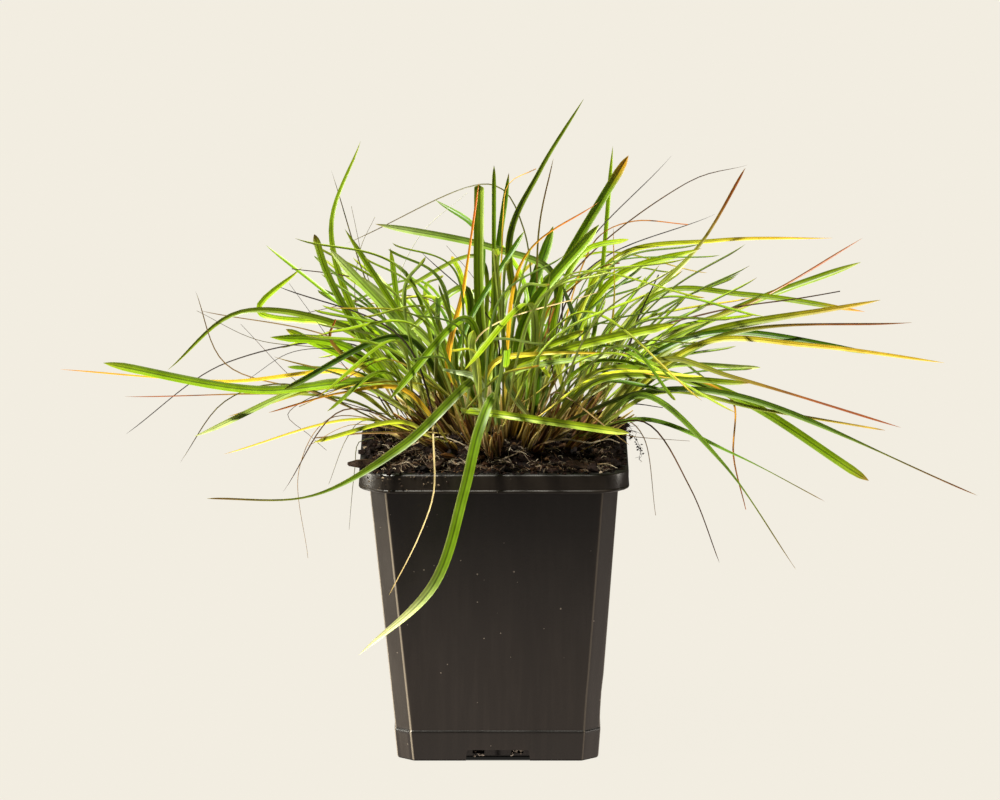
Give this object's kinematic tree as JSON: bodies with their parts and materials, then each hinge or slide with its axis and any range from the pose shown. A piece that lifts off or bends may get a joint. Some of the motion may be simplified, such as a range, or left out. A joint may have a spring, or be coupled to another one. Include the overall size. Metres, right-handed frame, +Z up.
{
  "type": "potted blue moor grass",
  "caption": "Tuft of arching blue moor grass leaves growing from peat in a thin square black nursery pot.",
  "frame": {"origin": "middle of the pot's underside, on the surface that the pot stands on", "axes": "+Z up, -Y towards the pot's front face, +X to the right of that face"},
  "size_m": [0.305, 0.2672, 0.22],
  "materials": {
    "pot_plastic": "thin moulded plastic with a satin sheen, scuffed and dusty",
    "peat": "dark crumbly peat with bark chips and fibres",
    "green_leaf": "living leaf, satin above and bluish and waxy below",
    "dry_leaf": "dead leaf, straw to dark brown, matt"
  },
  "bodies": {
    "root": {"pot": "pot_plastic", "potting_soil": "peat", "leaf_bunch_01": "green_leaf", "leaf_bunch_02": "green_leaf", "leaf_bunch_03": "green_leaf", "leaf_bunch_04": "green_leaf", "leaf_bunch_05": "green_leaf", "leaf_bunch_06": "green_leaf", "leaf_bunch_07": "green_leaf", "leaf_bunch_08": "green_leaf", "leaf_bunch_09": "green_leaf", "leaf_bunch_10": "green_leaf", "leaf_bunch_11": "green_leaf", "leaf_bunch_12": "green_leaf", "leaf_bunch_13": "green_leaf", "leaf_bunch_14": "green_leaf", "leaf_bunch_15": "green_leaf", "leaf_bunch_16": "green_leaf", "leaf_bunch_17": "green_leaf", "dry_leaf_bunch_01": "dry_leaf", "dry_leaf_bunch_02": "dry_leaf", "dry_leaf_bunch_03": "dry_leaf", "dry_leaf_bunch_04": "dry_leaf", "dry_leaf_bunch_05": "dry_leaf", "dry_leaf_bunch_06": "dry_leaf"}
  },
  "joints": []
}
